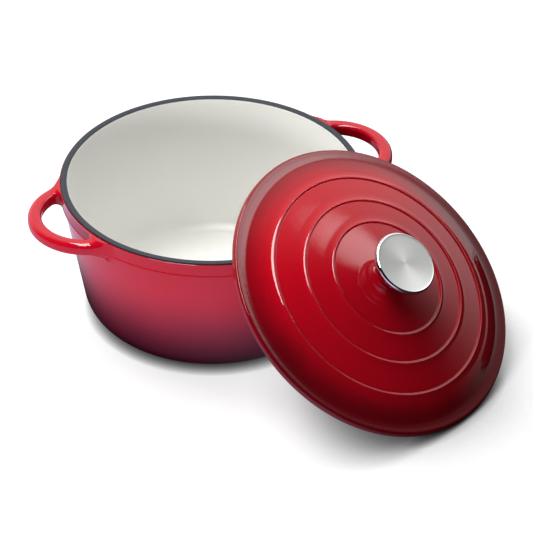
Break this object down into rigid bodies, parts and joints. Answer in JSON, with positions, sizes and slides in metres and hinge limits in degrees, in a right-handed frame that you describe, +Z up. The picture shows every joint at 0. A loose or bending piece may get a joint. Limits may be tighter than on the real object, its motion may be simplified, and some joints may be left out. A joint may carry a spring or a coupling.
{
  "type": "dutch oven",
  "caption": "Round enamelled cast iron dutch oven with loop handles and a ridged domed lid leaning on its rim.",
  "frame": {"origin": "centre of the pot's flat base, on the surface that it stands on", "axes": "+Z up along the pot's axis, X through the two loop handles; the lid leans on the rim from the -Y side"},
  "size_m": [0.3729, 0.3933, 0.1663],
  "materials": {
    "cast_iron": "matte",
    "red_enamel": "gloss",
    "cream_enamel": "satin",
    "rim_enamel": "matte",
    "polished_steel": "polished",
    "brushed_steel": "satin",
    "plated_steel": "satin"
  },
  "bodies": {
    "pot": {"pot_casting": "cast_iron", "pot_exterior_enamel": "red_enamel", "pot_interior_enamel": "cream_enamel", "pot_rim_enamel": "rim_enamel"},
    "lid": {"lid_casting": "cast_iron", "lid_exterior_enamel": "red_enamel", "lid_interior_enamel": "cream_enamel", "lid_rim_enamel": "rim_enamel", "knob_stem": "polished_steel", "knob_cap": "brushed_steel", "knob_threaded_insert": "plated_steel", "knob_washer": "plated_steel", "knob_screw": "plated_steel"}
  },
  "joints": [
    {"name": "lid_lift", "type": "slide", "parent": "pot", "child": "lid", "axis": [0, 0, 1], "range_m": [0, 0.25]}
  ]
}
